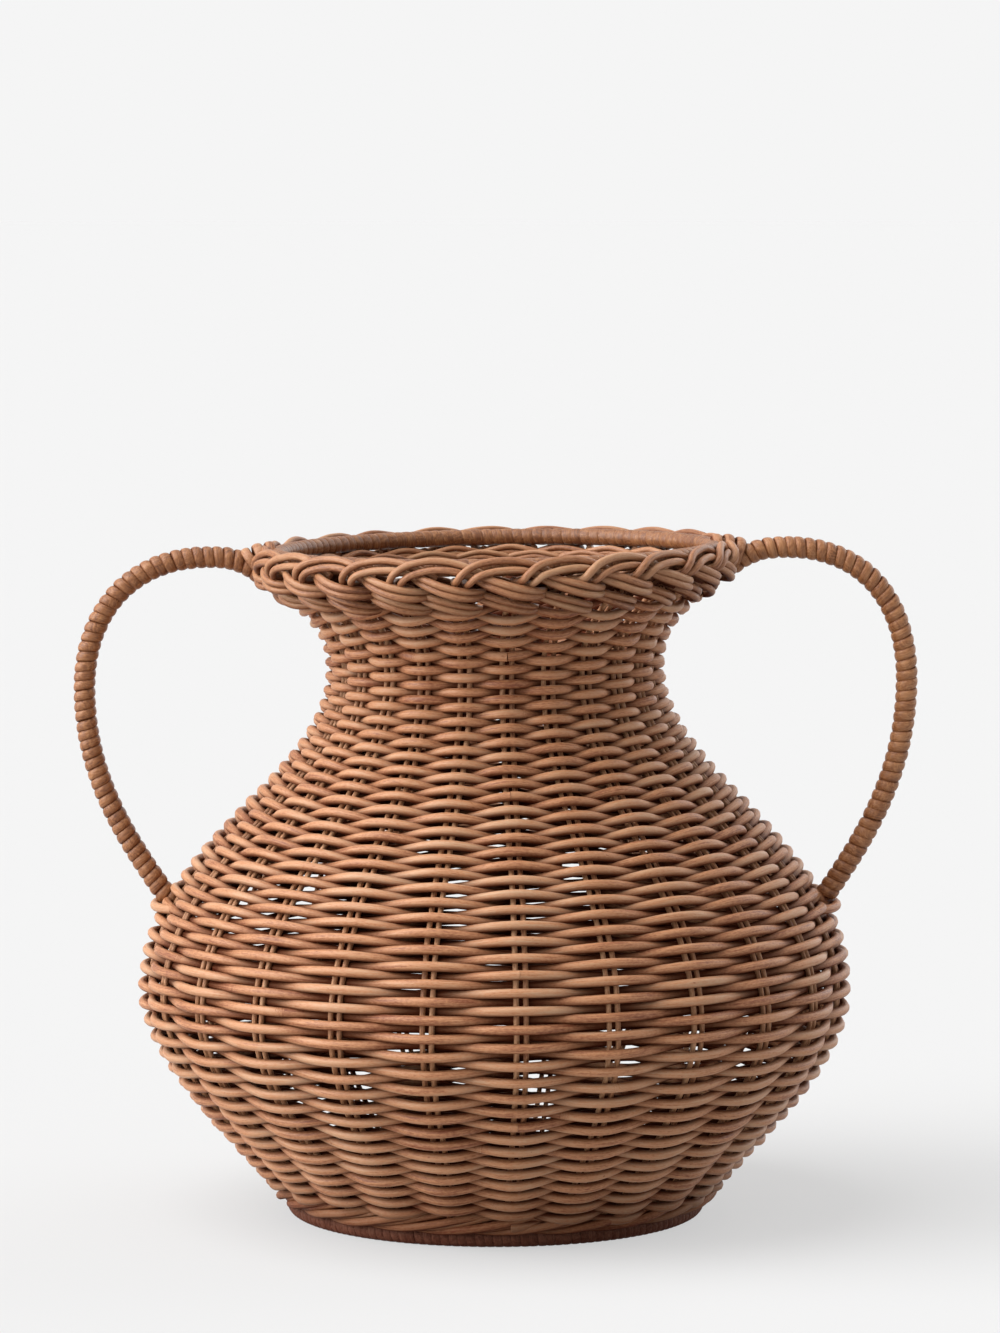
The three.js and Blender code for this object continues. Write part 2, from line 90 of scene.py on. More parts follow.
# The wrapped hoops: middle of the foot hoop's and of the rim hoop's section, as radius and height
FOOT_HOOP = Vector((90.5, 4.25)) * MM
RIM_HOOP = Vector((98.0, 299.6)) * MM
FOOT_HOOP_ROD = 3.3 * MM
RIM_HOOP_ROD = 3.0 * MM
STRIP_THICKNESS = 0.9 * MM

# A strand over the foot, as degrees from the stake, radius and height in millimetres, and the share
# of its thickness
FOOT_STRAND = [
    (-12, 92.4, 7.2, 0.35),
    (-7, 94.3, 7.2, 0.6),
    (-2, 96.3, 7.7, 0.85),
    (3, 98.0, 8.7, 1),
    (10, 99.2, 10.8, 1),
    (17, 98.8, 13.4, 1),
    (22, 97.0, 15.2, 1),
    (27, 94.2, 16.4, 1),
]

# The two sets of strands: degrees on from the stake, millimetres inwards and up, and the radius
FOOT_STRAND_SETS = [
    (0, 0.0, 0.0, 1.95),
    (STAKE_STEP / 2, 2.0, 0.9, 1.8),
]

# The handles, as distance from the axis and height: from inside the rim round to inside the wall
HANDLE_START = Vector((105.5, 291.4)) * MM
HANDLE_START_SLOPE = math.radians(40)
HANDLE_START_REACH = 6 * MM
HANDLE_BEND = 119.5 * MM
HANDLE_BEND_REACH = 5 * MM
HANDLE_TOP = Vector((112.45, 297.5)) * MM
HANDLE_TOP_SLOPE = math.radians(12)
HANDLE_TOP_REACH = 45 * MM
HANDLE_WIDE = Vector((185.45, 240.0)) * MM
HANDLE_FULLNESS_ABOVE = 42 * MM
HANDLE_FULLNESS_BELOW = 36 * MM
HANDLE_FOOT = Vector((150.3, 145.6)) * MM
HANDLE_FOOT_SLOPE = math.radians(55)
HANDLE_FOOT_REACH = 38 * MM
HANDLE_END = Vector((140.0, 140.6)) * MM
HANDLE_END_SLOPE = math.radians(15)
HANDLE_END_REACH = 4.5 * MM
HANDLE_TURNS = 51
HANDLE_ROD = 3.0 * MM
HANDLE_WINDING_INSIDE = 2.15 * MM

# The cane of the wall that a handle's foot goes over, as degrees from the handle, radius and height in
# millimetres
HANDLE_FOOT_CANE = [
    (-10, 146.0, 140.2),
    (-6, 151.6, 139.8),
    (0, 154.2, 139.9),
    (6, 151.6, 140.0),
    (10, 146.0, 140.4),
]
HANDLE_FOOT_CANE_RADIUS = 2.1 * MM

# The middle of a handle's binding over the rim, as distance from the axis and height in millimetres
RIM_BINDING = [
    (98.5, 299.4),
    (103.0, 299.4),
    (107.5, 298.4),
    (111.5, 296.6),
]
RIM_BINDING_INSIDE = 4.3 * MM

# The base: six sticks that cross in the middle, and the rows woven round their twelve ends
SPOKES = 12
SPOKE_STEP = 360 / SPOKES
SPOKE_REACH = 85.5 * MM
SPOKE_RADIUS = 1.15 * MM
SPOKE_CROSSING = 1.25 * SPOKE_RADIUS  # how far up or down the sticks pass each other
SPOKE_PLACES = ((1.0, 1.0), (0.6, 1.0), (0.25, 1.0), (0.12, 0.9))  # shares of the reach and of the step
BASE_HEIGHT = 5.15 * MM
BASE_WEAVE_START = 8 * MM
BASE_WEAVE_END = 88 * MM
BASE_ROWS = 24

# The rim is a little higher on the +X side
RIM_LEAN = math.radians(1)
LEAN_START = 142 * MM
LEAN_FULL = 298.5 * MM

scene = bpy.context.scene


# Node trees
class Value:
    """A socket that takes part in sums and products, which become maths nodes of its tree."""

    def __init__(self, tree, socket):
        self.tree = tree
        self.socket = socket

    def _maths(self, operation, *others, clamp=False):
        node = self.tree.nodes.new("ShaderNodeMath")
        node.operation = operation
        node.use_clamp = clamp
        for slot, value in zip(node.inputs, (self, *others)):
            plug(self.tree, slot, value)
        return Value(self.tree, node.outputs[0])

    def __add__(self, other):
        return self._maths("ADD", other)

    def __sub__(self, other):
        return self._maths("SUBTRACT", other)

    def __mul__(self, other):
        return self._maths("MULTIPLY", other)

    def __truediv__(self, other):
        return self._maths("DIVIDE", other)

    def sine(self):
        return self._maths("SINE")

    def cosine(self):
        return self._maths("COSINE")

    def floor(self):
        return self._maths("FLOOR")

    def size(self):
        return self._maths("ABSOLUTE")

    def power(self, exponent):
        return self._maths("POWER", exponent)

    def at_least(self, other):
        """The greater of the two."""
        return self._maths("MAXIMUM", other)

    def rise(self, low, high):
        """0 up to low, 1 from high on, and a straight rise between them."""
        return ((self - low) / (high - low))._maths("ADD", 0.0, clamp=True)


def plug(tree, slot, value):
    """Links a value to a node's input, or sets the input where the value is plain."""
    if isinstance(value, Value):
        tree.links.new(value.socket, slot)
    elif value is not None:
        slot.default_value = value


class Nodes:
    """A node tree under construction, with short ways to add nodes to it."""

    def __init__(self, tree):
        self.tree = tree

    def node(self, kind, inputs=None, out=0, **settings):
        """Adds a node, fills its inputs by name or number, and gives back one of its outputs."""
        node = self.tree.nodes.new(kind)
        for key, value in settings.items():
            setattr(node, key, value)
        for key, value in (inputs or {}).items():
            slots = [s for s in node.inputs if s.enabled]
            slot = slots[key] if isinstance(key, int) else next(s for s in slots if s.name == key)
            plug(self.tree, slot, value)
        outs = [s for s in node.outputs if s.enabled]
        if out is None:
            return {s.name: Value(self.tree, s) for s in outs}
        return Value(self.tree, outs[out])

    def vector(self, x, y, z):
        return self.node("ShaderNodeCombineXYZ", {0: x, 1: y, 2: z})

    def parts(self, vector):
        found = self.node("ShaderNodeSeparateXYZ", {0: vector}, out=None)
        return found["X"], found["Y"], found["Z"]

    def vectors(self, operation, *values):
        return self.node("ShaderNodeVectorMath", dict(enumerate(values)), operation=operation)

    def scaled(self, vector, factor):
        return self.node("ShaderNodeVectorMath", {"Vector": vector, "Scale": factor}, operation="SCALE")

    def noise(self, vector, scale=1.0, detail=1.0):
        """Smooth noise about zero, from -1 to 1."""
        inputs = {"Vector": vector, "Scale": scale, "Detail": detail}
        return (self.node("ShaderNodeTexNoise", inputs) - 0.5) * 2.0


class Tree(Nodes):
    """A geometry node tree with named inputs."""

    KINDS = {
        "float": "NodeSocketFloat",
        "int": "NodeSocketInt",
        "vector": "NodeSocketVector",
        "object": "NodeSocketObject",
        "material": "NodeSocketMaterial",
    }

    def __init__(self, name, **inputs):
        super().__init__(bpy.data.node_groups.new(name, "GeometryNodeTree"))
        for label, kind in inputs.items():
            self.tree.interface.new_socket(label, in_out="INPUT", socket_type=self.KINDS[kind])
        self.tree.interface.new_socket("Geometry", in_out="OUTPUT", socket_type="NodeSocketGeometry")
        self.given = self.tree.nodes.new("NodeGroupInput")

    def __getitem__(self, label):
        return Value(self.tree, self.given.outputs[label])

    def line(self):
        return self.node("GeometryNodeObjectInfo", {"Object": self["Line"]}, out=None)["Geometry"]

    def random(self, number, low=0.0, high=1.0, shift=0):
        inputs = {"Min": low, "Max": high, "ID": number, "Seed": self["Seed"] + shift}
        return self.node("FunctionNodeRandomValue", inputs, data_type="FLOAT")

    def captured(self, geometry, value, data_type="FLOAT"):
        """Keeps a field's values with the geometry, and gives back the geometry and the values."""
        node = self.tree.nodes.new("GeometryNodeCaptureAttribute")
        node.capture_items.new(data_type, "kept")
        plug(self.tree, node.inputs["Geometry"], geometry)
        plug(self.tree, node.inputs["kept"], value)
        return Value(self.tree, node.outputs["Geometry"]), Value(self.tree, node.outputs["kept"])

    def stored(self, geometry, name, value, data_type="FLOAT"):
        inputs = {"Geometry": geometry, "Name": name, "Value": value}
        return self.node("GeometryNodeStoreNamedAttribute", inputs, data_type=data_type)

    def joined(self, pieces):
        node = self.tree.nodes.new("GeometryNodeJoinGeometry")
        for piece in pieces:
            self.tree.links.new(piece.socket, node.inputs[0])
        return Value(self.tree, node.outputs[0])

    def cane(self, curve, radius, along, tint, proud):
        """Round cane along a curve, with what its material needs stored on it.

        cane: a place inside the straightened cane, in metres; tint: a shade for each length of cane;
        proud: how far the surface stands out of its neighbours and faces the light, up to 1; low values
        get painted shade.
        """
        curve, along = self.captured(curve, along)
        curve, tint = self.captured(curve, tint)
        curve, radius = self.captured(curve, radius)
        ring = self.node("GeometryNodeCurvePrimitiveCircle", {"Resolution": self["Sides"], "Radius": 1.0})
        ring, aside = self.captured(ring, self.node("GeometryNodeInputPosition"), "VECTOR")
        inputs = {"Curve": curve, "Profile Curve": ring, "Scale": radius, "Fill Caps": True}
        mesh = self.node("GeometryNodeCurveToMesh", inputs)
        place = self.vectors("ADD", self.scaled(aside, radius), self.vector(0.0, 0.0, along))
        mesh = self.stored(mesh, "cane", place, "FLOAT_VECTOR")
        mesh = self.stored(mesh, "tint", tint)
        return self.stored(mesh, "proud", proud)

    def ends(self, geometry):
        """Realizes the result, gives it its material and closes the tree."""
        whole = self.node("GeometryNodeRealizeInstances", {"Geometry": geometry})
        inputs = {"Geometry": whole, "Material": self["Material"]}
        painted = self.node("GeometryNodeSetMaterial", inputs)
        result = self.tree.nodes.new("NodeGroupOutput")
        self.tree.links.new(painted.socket, result.inputs[0])
        return self.tree


# Weavers
NOISE_ROUND = 2.2  # radius of the circle that the noise follows in one turn round the vase
NOISE_UP = 1.7  # its step from one row to the next
SWING_CHANGE = 0.2  # share by which the swing changes along a cane
THICKNESS_CHANGE = 0.09  # share by which the thickness changes
EDGE_SHADE = 0.3  # how much painted shade a cane gets at its edges, between the rows
UNDERSIDE_SHADE = 0.35  # and on its underside, away from the light above


def rows_tree():
    """Weaving: two canes that take turns over and under the stakes and climb round the wall together."""
    tree = Tree(
        "Woven rows",
        Line="object",
        Start="float",
        Rows="int",
        First_pitch="float",
        Last_pitch="float",
        Stakes="int",
        First_stake="float",
        Swing="float",
        Out="float",
        Radius="float",
        Unevenness="float",
        Cane_length="float",
        Steps="int",
        Sides="int",
        Seed="int",
        Material="material",
    )
    line = tree.line()
    steps_per_turn = tree["Stakes"] * tree["Steps"]
    index = tree.node("GeometryNodeInputIndex")
    seed = tree["Seed"] * 7.31  # sets the noise of one band apart from the next
    weavers = []
    for weaver in (0, 1):
        straight = tree.node("GeometryNodeCurvePrimitiveLine")
        count = tree["Rows"] * steps_per_turn / 2 + 1
        curve = tree.node("GeometryNodeResampleCurve", {"Curve": straight, "Count": count})
        turn = index / steps_per_turn
        angle = turn * (2 * math.pi) + tree["First_stake"]
        row = turn * 2 + weaver
        crowding = (tree["Last_pitch"] - tree["First_pitch"]) / tree["Rows"] / 2
        distance = tree["Start"] + tree["First_pitch"] * row + crowding * row * row
        noise_x, noise_y = angle.cosine() * NOISE_ROUND, angle.sine() * NOISE_ROUND
        round_place = tree.vector(noise_x, noise_y, row * NOISE_UP + seed)
        distance = distance + tree.noise(round_place, scale=1.6, detail=2.0) * tree["Unevenness"]
        wave = turn * tree["Stakes"] * math.pi + weaver * math.pi
        swing = wave.cosine() * tree["Swing"] * (tree.noise(round_place, scale=3.1) * SWING_CHANGE + 1.0)
        inputs = {"Curves": line, "Length": distance}
        found = tree.node("GeometryNodeSampleCurve", inputs, out=None, mode="LENGTH")
        radius, _, height = tree.parts(found["Position"])
        run, _, rise = tree.parts(found["Tangent"])
        aside, across = angle.sine(), angle.cosine() * -1.0
        middle = tree.vector(radius * aside, radius * across, height)
        outward = tree.vector(rise * aside, rise * across, run * -1.0)
        upward = tree.vector(run * aside, run * across, rise)
        curve, middle = tree.captured(curve, middle, "VECTOR")
        curve, outward = tree.captured(curve, outward, "VECTOR")
        curve, upward = tree.captured(curve, upward, "VECTOR")
        place = tree.vectors("ADD", middle, tree.scaled(outward, swing + tree["Out"]))
        curve = tree.node("GeometryNodeSetPosition", {"Geometry": curve, "Position": place})
        length = tree.node("GeometryNodeSplineParameter", out=None)["Length"]
        piece = (length / tree["Cane_length"] + seed + weaver * 0.37).floor()
        tint = tree.random(piece, shift=weaver * 50)
        thick = tree["Radius"] * (tree.noise(round_place, scale=0.9) * THICKNESS_CHANGE + 1.0)
        gap = tree.vectors("SUBTRACT", tree.node("GeometryNodeInputPosition"), middle)
        stands_out = tree.vectors("DOT_PRODUCT", gap, outward) / (tree["Swing"] + tree["Radius"])
        # What stands out on the inside of the vase is as pale as the outside, and the gaps get painted
        # shade
        proud = stands_out.at_least(stands_out * -2.0 - 1.2)
        edge = tree.vectors("DOT_PRODUCT", gap, upward) / tree["Radius"]
        underside = (edge * -1.0).rise(0.4, 1.0)
        # Painted shade along a cane's edges and on its underside
        proud = proud - edge.size().power(4.0) * EDGE_SHADE - underside * UNDERSIDE_SHADE
        weavers.append(tree.cane(curve, thick, length, tint, proud))
    return tree.ends(tree.joined(weavers))


# Canes round the vase
SPLINES_AT_MOST = 7.0  # more than any of their lines has
NOISE_PER_METRE = 40.0
WAVER = 0.05  # share by which the thickness changes along a cane
FACING_RISE = 0.35  # how far up the side of a cane that stays pale is turned, towards the light above
FACING_SHADE = 0.65  # how dark the painted shade on its other side gets


def ring_tree():
    """Canes that follow the splines of a line object, repeated at even turns round the vase's axis."""
    tree = Tree(
        "Canes round the vase",
        Line="object",
        Copies="int",
        Turn_jitter="float",
        Unevenness="float",
        Thickness_jitter="float",
        Spacing="float",
        Facing="float",
        Paleness="float",
        Sides="int",
        Seed="int",
        Material="material",
    )
    inputs = {"Curve": tree.line(), "Length": tree["Spacing"]}
    curve = tree.node("GeometryNodeResampleCurve", inputs, mode="LENGTH")
    curve, strand = tree.captured(curve, tree.node("GeometryNodeCurveOfPoint"), "INT")
    inputs = {"Geometry": curve, "Amount": tree["Copies"]}
    found = tree.node("GeometryNodeDuplicateElements", inputs, out=None, domain="SPLINE")
    curve, copy = tree.captured(found["Geometry"], found["Duplicate Index"])
    one = copy * SPLINES_AT_MOST + strand
    turn = copy * (2 * math.pi) / tree["Copies"] + tree.random(copy, -1.0, 1.0) * tree["Turn_jitter"]
    inputs = {"Vector": tree.node("GeometryNodeInputPosition"), "Angle": turn}
    turned = tree.node("ShaderNodeVectorRotate", inputs, rotation_type="Z_AXIS")
    apart = tree.vector(one * 1.37, one * 2.11, tree["Seed"])
    spot = tree.vectors("ADD", tree.scaled(turned, NOISE_PER_METRE), apart)
    shifts = [
        tree.noise(tree.vectors("ADD", spot, (17.0 * axis, 5.0 * axis, 0.0))) * tree["Unevenness"]
        for axis in range(3)
    ]
    place = tree.vectors("ADD", turned, tree.vector(*shifts))
    curve = tree.node("GeometryNodeSetPosition", {"Geometry": curve, "Position": place})
    thick = tree.random(one, -1.0, 1.0, shift=3) * tree["Thickness_jitter"] + 1.0
    thick = thick + tree.noise(spot, scale=0.7) * WAVER
    radius = tree.node("GeometryNodeInputRadius") * thick
    length = tree.node("GeometryNodeSplineParameter", out=None)["Length"]
    along = length + tree.random(one, 0.0, 5.0, shift=5)
    # Painted shade on the side of a cane that faces away from the outside of the vase and from above
    x, y, _ = tree.parts(tree.vectors("NORMALIZE", tree.node("GeometryNodeInputPosition")))
    faced = tree.vectors("NORMALIZE", tree.vector(x * tree["Facing"], y * tree["Facing"], FACING_RISE))
    facing = tree.vectors("DOT_PRODUCT", tree.node("GeometryNodeInputNormal"), faced)
    proud = (facing - 1.0) * tree["Facing"].size() * FACING_SHADE + 1.0
    # Paleness shifts the whole piece's tone: above 0 it is painted light, below 0 painted shade
    tint = tree.random(one, shift=9) + tree["Paleness"]
    return tree.ends(tree.cane(curve, radius, along, tint, proud))


# Wound cane
WINDING_LIFT = 0.6  # share of the unevenness that lifts a turn off the rod
WINDING_SHADES = 1.1  # how far the turns differ in shade


def wound_tree():
    """Flat cane wound in close turns along a line that lies in one plane."""
    tree = Tree(
        "Wound cane",
        Line="object",
        Square_to_line="vector",
        Turns="int",
        Steps="int",
        Rod="float",
        Width="float",
        Thickness="float",
        Tilt="float",
        Unevenness="float",
        End_shade="float",
        Groove="float",
        Paleness="float",
        Sides="int",
        Seed="int",
        Material="material",
    )
    straight = tree.node("GeometryNodeCurvePrimitiveLine")
    count = tree["Turns"] * tree["Steps"] + 1
    curve = tree.node("GeometryNodeResampleCurve", {"Curve": straight, "Count": count})
    turn = tree.node("GeometryNodeInputIndex") / tree["Steps"]
    slip = tree.noise(tree.vector(turn * 0.45, tree["Seed"], 0.0)) * tree["Unevenness"]
    inputs = {"Curves": tree.line(), "Factor": (turn + slip) / tree["Turns"]}
    found = tree.node("GeometryNodeSampleCurve", inputs, out=None, mode="FACTOR")
    square = tree["Square_to_line"]
    outer = tree.vectors("NORMALIZE", tree.vectors("CROSS_PRODUCT", found["Tangent"], square))
    angle = turn * (2 * math.pi)
    outward = tree.vectors("ADD", tree.scaled(outer, angle.sine()), tree.scaled(square, angle.cosine()))
    lift = tree.noise(tree.vector(turn * 0.8, tree["Seed"], 5.0)) * tree["Unevenness"]
    lift = lift * WINDING_LIFT + 1.0
    radius = tree["Rod"] + tree["Thickness"] * 0.5 * lift
    place = tree.vectors("ADD", found["Position"], tree.scaled(outward, radius))
    curve, outward = tree.captured(curve, outward, "VECTOR")
    curve = tree.node("GeometryNodeSetPosition", {"Geometry": curve, "Position": place})
    curve = tree.node("GeometryNodeSetCurveNormal", {"Curve": curve, "Normal": outward}, mode="FREE")
    length = tree.node("GeometryNodeSplineParameter", out=None)["Length"]
    curve, along = tree.captured(curve, length)
    shade = tree.noise(tree.vector(turn * 0.83, tree["Seed"], 9.0), scale=1.0, detail=2.0)
    # Paleness shifts the whole piece's tone: above 0 it is painted light, below 0 painted shade
    curve, tint = tree.captured(curve, shade * WINDING_SHADES + 0.5 + tree["Paleness"])
    ring = tree.node("GeometryNodeCurvePrimitiveCircle", {"Resolution": tree["Sides"], "Radius": 1.0})
    flat, side, _ = tree.parts(tree.node("GeometryNodeInputPosition"))
    flat = (flat + side * tree["Tilt"]) * 0.5 * tree["Thickness"]
    side = side * 0.5 * tree["Width"]
    from_middle = (turn / tree["Turns"] * 2.0 - 1.0).size()
    curve, shaded = tree.captured(curve, from_middle.power(16.0) * tree["End_shade"])
    ring, section = tree.captured(ring, tree.vector(flat, side, 0.0), "VECTOR")
    ring = tree.node("GeometryNodeSetPosition", {"Geometry": ring, "Position": section})
    inputs = {"Curve": curve, "Profile Curve": ring, "Scale": 1.0, "Fill Caps": True}
    mesh = tree.node("GeometryNodeCurveToMesh", inputs)
    place = tree.vectors("ADD", section, tree.vector(0.0, 0.0, along))
    mesh = tree.stored(mesh, "cane", place, "FLOAT_VECTOR")
    mesh = tree.stored(mesh, "tint", tint)
    # Painted shade in the grooves between the turns, and on the last turns at each end
    edge = (tree.parts(section)[1] * 2.0 / tree["Width"]).size().power(4.0)
    return tree.ends(tree.stored(mesh, "proud", edge * tree["Groove"] * -1.0 + 1.0 - shaded))


def grow(name, tree, slot, nodes, **settings):
    """Runs a tree on an empty mesh and keeps the result as a plain mesh piece on the body.

    The piece has its slot's finish, and takes the place of the given CAD nodes.
    """
    piece = bpy.data.objects.new(name, bpy.data.meshes.new(name))
    scene.collection.objects.link(piece)
    modifier = piece.modifiers.new("Growth", "NODES")
    modifier.node_group = tree
    settings["Material"] = FINISHES[slot]
    for item in tree.interface.items_tree:
        if item.in_out == "INPUT":
            modifier[item.identifier] = settings[item.name]
    result = piece.evaluated_get(bpy.context.evaluated_depsgraph_get())
    mesh = bpy.data.meshes.new_from_object(result)
    piece.modifiers.clear()
    piece.data = mesh
    mesh.name = name
    mesh.shade_smooth()
    lean(mesh)
    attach(piece, "root")
    if nodes:
        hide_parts(*nodes)


def lay(name, slot, nodes, line, **settings):
    """Canes along a line object: a single, even one where the settings say nothing else."""
    even = {
        "Copies": 1,
        "Turn_jitter": 0.0,
        "Unevenness": 0.0,
        "Thickness_jitter": 0.0,
        "Facing": 0.0,
        "Paleness": 0.0,
    }
    grow(name, canes_round, slot, nodes, Line=line, **(even | settings))


def lean(mesh):
    """Raises the +X side of the rim and lowers the other, as in the model, with a smooth start."""
    steepness = math.tan(RIM_LEAN)
    for vertex in mesh.vertices:
        share = (vertex.co.z - LEAN_START) / (LEAN_FULL - LEAN_START)
        share = min(max(share, 0.0), 1.0)
        vertex.co.z += steepness * vertex.co.x * share * share * (3 - 2 * share)


# Paths
def slope(angle, length):
    return Vector((math.cos(angle), math.sin(angle))) * length


def upright(point):
    """A radius and height as a place over the +X axis."""
    return Vector((point.x, 0, point.y))


WALL_CORNERS = [
    (WALL_START, WALL_START, WALL_START + slope(FOOT_SLOPE, FOOT_REACH)),
    (BELLY, BELLY - Vector((0, BELLY_FULLNESS_BELOW)), BELLY + Vector((0, BELLY_FULLNESS_ABOVE))),
    (NECK, NECK - Vector((0, NECK_LENGTH_BELOW)), NECK + Vector((0, NECK_LENGTH_ABOVE))),
    (WALL_END, WALL_END - slope(FLARE_SLOPE, FLARE_REACH), WALL_END),
]


def bezier_places(corners, steps=48):
    """Places along a Bezier line whose corners are (place, handle before, handle after)."""
    places = []
    for here, there in zip(corners, corners[1:]):
        places += interpolate_bezier(here[0], here[2], there[1], there[0], steps)[:-1]
    return places + [corners[-1][0]]


WALL = bezier_places([[upright(p) for p in corner] for corner in WALL_CORNERS])


def on_wall(distance):
    """Radius and height of a point on the wall's middle line, at a distance from its start."""
    left = distance
    for here, there in zip(WALL, WALL[1:]):
        step = there - here
        if left <= step.length:
            break
        left -= step.length
    place = here + step.normalized() * left
    return place.x, place.z


def round_axis(degrees, radius, height, aside=0.0):
    """A place at an angle from the front towards +X."""
    angle = math.radians(degrees)
    x = radius * math.sin(angle) + aside * math.cos(angle)
    y = -radius * math.cos(angle) + aside * math.sin(angle)
    return Vector((x, y, height))


helpers = []


def line_object(name, lines, closed=False, smooth=True):
    """A helper curve through lists of places, each list with one radius or a radius for each place."""
    curve = bpy.data.curves.new(name, "CURVE")
    curve.dimensions = "3D"
    curve.resolution_u = 12
    for radius, places in lines:
        spline = curve.splines.new("BEZIER" if smooth else "POLY")
        points = spline.bezier_points if smooth else spline.points
        points.add(len(places) - 1)
        radii = radius if isinstance(radius, list) else [radius] * len(places)
        for point, place, point_radius in zip(points, places, radii):
            point.radius = point_radius
            if smooth:
                point.co = place
                point.handle_left_type = "AUTO"
                point.handle_right_type = "AUTO"
            else:
                point.co = (*place, 1)
        spline.use_cyclic_u = closed
    helper = bpy.data.objects.new(name, curve)
    scene.collection.objects.link(helper)
    helpers.append(helper)
    return helper


def circle_line(name, hoop):
    """A hoop's middle line, which starts and ends at the back."""
    places = [round_axis(angle, hoop.x, hoop.y) for angle in range(180, 541, 2)]
    return line_object(name, [(1.0, places)], smooth=False)


def handle_line(name, side, radius=1.0):
    """A handle's middle line from the rim to the wall; side is 1 for +X and -1 for the other."""
    corners = [
        (HANDLE_TOP, HANDLE_TOP, HANDLE_TOP + slope(HANDLE_TOP_SLOPE, HANDLE_TOP_REACH)),
        (
            HANDLE_WIDE,
            HANDLE_WIDE + Vector((0, HANDLE_FULLNESS_ABOVE)),
            HANDLE_WIDE - Vector((0, HANDLE_FULLNESS_BELOW)),
        ),
        (
            HANDLE_FOOT,
            HANDLE_FOOT + slope(HANDLE_FOOT_SLOPE, HANDLE_FOOT_REACH),
            HANDLE_FOOT - slope(HANDLE_FOOT_SLOPE, HANDLE_END_REACH),
        ),
        (HANDLE_END, HANDLE_END + slope(HANDLE_END_SLOPE, HANDLE_END_REACH), HANDLE_END),
    ]
    loop = bezier_places([[upright(p) for p in corner] for corner in corners])
    loop = [p for p in loop if p.x > HANDLE_BEND]
    start = upright(HANDLE_START)
    leaving = start + upright(slope(HANDLE_START_SLOPE, HANDLE_START_REACH))
    arriving = loop[0] - upright(slope(HANDLE_TOP_SLOPE, HANDLE_BEND_REACH))
    bend = interpolate_bezier(start, leaving, arriving, loop[0], 10)[:-1]
    places = [Vector((p.x * side, 0, p.z)) for p in bend + loop]
    return line_object(name, [(radius, places)], smooth=False)


# The paths of the rim's canes, as degrees from the stake, and radius and height in millimetres
UPPER_ARC = [
    (0.0, 97.5, 294.0),
    (1.0, 103.0, 293.4),
    (1.9, 107.0, 294.6),
    (3.2, 108.4, 297.6),
    (5.6, 107.0, 300.6),
    (9.0, 105.2, 302.2),
    (13.0, 103.9, 302.8),
    (17.0, 103.2, 302.0),
    (20.5, 103.0, 300.2),
    (23.5, 102.6, 297.8),
    (26.0, 101.5, 295.0),
]
LOWER_ARC = [
    (2.8, 97.5, 293.2),
    (3.7, 103.0, 292.6),
    (4.7, 107.0, 293.6),
    (6.3, 108.2, 296.0),
    (9.5, 107.2, 298.0),
    (13.0, 106.3, 298.9),
    (16.5, 105.6, 298.8),
    (19.0, 104.6, 297.6),
    (21.5, 103.2, 295.6),
    (24.0, 101.2, 293.2),
]
UPPER_SLANT = [
    (-10.5, 97.6, 296.8),
    (-8.4, 102.0, 295.8),
    (-5.8, 105.0, 294.0),
    (-2.5, 106.9, 291.8),
    (0.6, 107.3, 290.0),
    (3.7, 106.4, 288.7),
    (6.5, 103.6, 288.2),
    (8.6, 98.6, 288.4),
    (10.0, 93.0, 288.8),
]
LOWER_SLANT = [
    (-11.5, 90.0, 288.8),
    (-8.4, 95.8, 287.6),
    (-4.6, 99.0, 285.4),
    (-0.6, 99.2, 283.2),
    (3.2, 97.2, 281.5),
    (6.4, 93.4, 280.8),
    (8.6, 87.0, 281.0),
]
INNER_ARC = [
    (-13.5, 94.6, 287.6),
    (-9.5, 92.8, 289.8),
    (-4.5, 91.8, 292.0),
    (0.0, 91.8, 293.0),
    (4.5, 91.8, 292.0),
    (9.5, 92.8, 289.8),
    (13.5, 94.6, 287.6),
]


def rim_cane(radius, path, in_by=0.0, down_by=0.0, gather=0.0, turn=0.0):
    """A cane of the rim at the first stake, moved inwards, down and round by the given amounts.

    Towards its ends it gets thinner and lies closer to its path, both by the share called gather.
    """
    places = []
    radii = []
    for number, (degrees, r, z) in enumerate(path):
        from_middle = abs(2 * number / (len(path) - 1) - 1)
        share = 1 - gather * from_middle ** 3
        angle = FIRST_STAKE + turn + degrees
        places.append(round_axis(angle, (r - in_by * share) * MM, (z - down_by * share) * MM))
        radii.append(radius * (0.4 + 0.6 * share) * MM)
    return radii, places


# Materials
STAIN_AND_SHADE = (0.066, 0.010, 0.003)  # the colour of stain and painted shade in the recesses, and of painted shade near the foot
# How high up from the floor the painted shade near the foot reaches
FOOT_SHADE_HEIGHT = 30 * MM
GRAIN_RELIEF = 0.12 * MM

# Each finish: its pale, its middle and its dark colour, and its roughness
CANE_COLOURS = {
    "weave": ((0.500, 0.290, 0.168), (0.455, 0.203, 0.093), (0.20, 0.058, 0.021), 0.5),
    "stakes": ((0.66, 0.38, 0.21), (0.46, 0.215, 0.102), (0.20, 0.070, 0.028), 0.58),
    "plait": ((0.445, 0.242, 0.128), (0.358, 0.153, 0.068), (0.135, 0.042, 0.016), 0.46),
    "rim_wrapping": ((0.36, 0.164, 0.066), (0.205, 0.077, 0.028), (0.10, 0.030, 0.011), 0.45),
    "foot_wrapping": ((0.50, 0.250, 0.160), (0.27, 0.128, 0.080), (0.05, 0.021, 0.012), 0.55),
    "handle_wrapping": ((0.43, 0.200, 0.086), (0.27, 0.106, 0.039), (0.11, 0.034, 0.013), 0.45),
    "base": ((0.60, 0.36, 0.21), (0.44, 0.22, 0.115), (0.20, 0.075, 0.035), 0.6),
}


